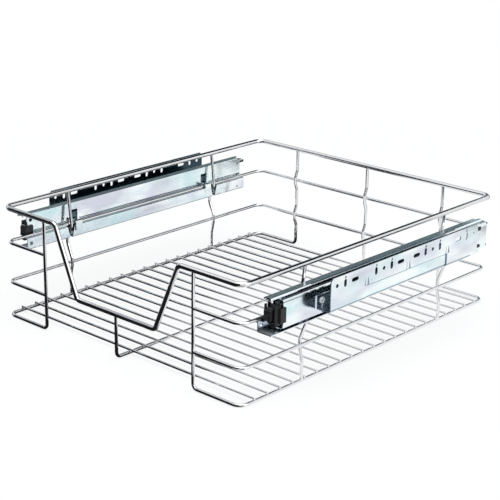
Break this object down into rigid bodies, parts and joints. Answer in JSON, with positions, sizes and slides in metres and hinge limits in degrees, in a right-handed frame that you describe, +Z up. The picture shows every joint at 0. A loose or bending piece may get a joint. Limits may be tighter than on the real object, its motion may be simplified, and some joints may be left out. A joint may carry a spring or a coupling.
{
  "type": "pull out cabinet basket",
  "caption": "Chrome wire basket with a dipped front rim on ball-bearing runners with slotted side brackets, pulled out of a kitchen base cabinet.",
  "frame": {"origin": "middle of the basket at the underside of its bottom wires", "axes": "+X to the right side of the cabinet, -Y to the front, out of the cabinet, +Z up"},
  "size_m": [0.464, 0.4634, 0.1423],
  "materials": {
    "chrome_wire": "bright chrome plate",
    "zinc_sheet": "blue-white zinc plate",
    "member_steel": "blue-white zinc plate",
    "cage_steel": "zinc plate",
    "ball_steel": "polished",
    "black_plastic": "moulded black"
  },
  "bodies": {
    "cabinet_side": {"left_cabinet_member": "zinc_sheet", "right_cabinet_member": "zinc_sheet", "left_rear_stop": "black_plastic", "right_rear_stop": "black_plastic", "left_bracket": "zinc_sheet", "right_bracket": "zinc_sheet", "left_bracket_rivets": "member_steel", "right_bracket_rivets": "member_steel"},
    "basket": {"top_rim": "chrome_wire", "second_rim": "chrome_wire", "third_rim": "chrome_wire", "left_bottom_wire": "chrome_wire", "right_bottom_wire": "chrome_wire", "centre_support_wire": "chrome_wire", "floor_wires": "chrome_wire", "left_side_wires": "chrome_wire", "right_side_wires": "chrome_wire", "left_carrier": "zinc_sheet", "right_carrier": "zinc_sheet", "left_carrier_rivets": "member_steel", "right_carrier_rivets": "member_steel", "left_inner_member": "member_steel", "right_inner_member": "member_steel", "left_end_plug": "black_plastic", "right_end_plug": "black_plastic"},
    "middle_members": {"left_middle_member": "member_steel", "right_middle_member": "member_steel", "left_front_buffer": "black_plastic", "right_front_buffer": "black_plastic"},
    "inner_cages": {"left_inner_cage": "cage_steel", "right_inner_cage": "cage_steel", "left_inner_balls": "ball_steel", "right_inner_balls": "ball_steel"},
    "outer_cages": {"left_outer_cage": "cage_steel", "right_outer_cage": "cage_steel", "left_outer_balls": "ball_steel", "right_outer_balls": "ball_steel"}
  },
  "joints": [
    {"name": "basket_slide", "type": "slide", "parent": "cabinet_side", "child": "basket", "axis": [0, -1, 0], "range_m": [0, 0.37]},
    {"name": "middle_slide", "type": "slide", "parent": "cabinet_side", "child": "middle_members", "axis": [0, -1, 0], "range_m": [0, 0.185]},
    {"name": "inner_cage_slide", "type": "slide", "parent": "cabinet_side", "child": "inner_cages", "axis": [0, -1, 0], "range_m": [0, 0.2775]},
    {"name": "outer_cage_slide", "type": "slide", "parent": "cabinet_side", "child": "outer_cages", "axis": [0, -1, 0], "range_m": [0, 0.0925]}
  ],
  "couplings": [
    {"joint": "middle_slide", "follows": "basket_slide", "ratio": 0.5},
    {"joint": "inner_cage_slide", "follows": "basket_slide", "ratio": 0.75},
    {"joint": "outer_cage_slide", "follows": "basket_slide", "ratio": 0.25}
  ]
}
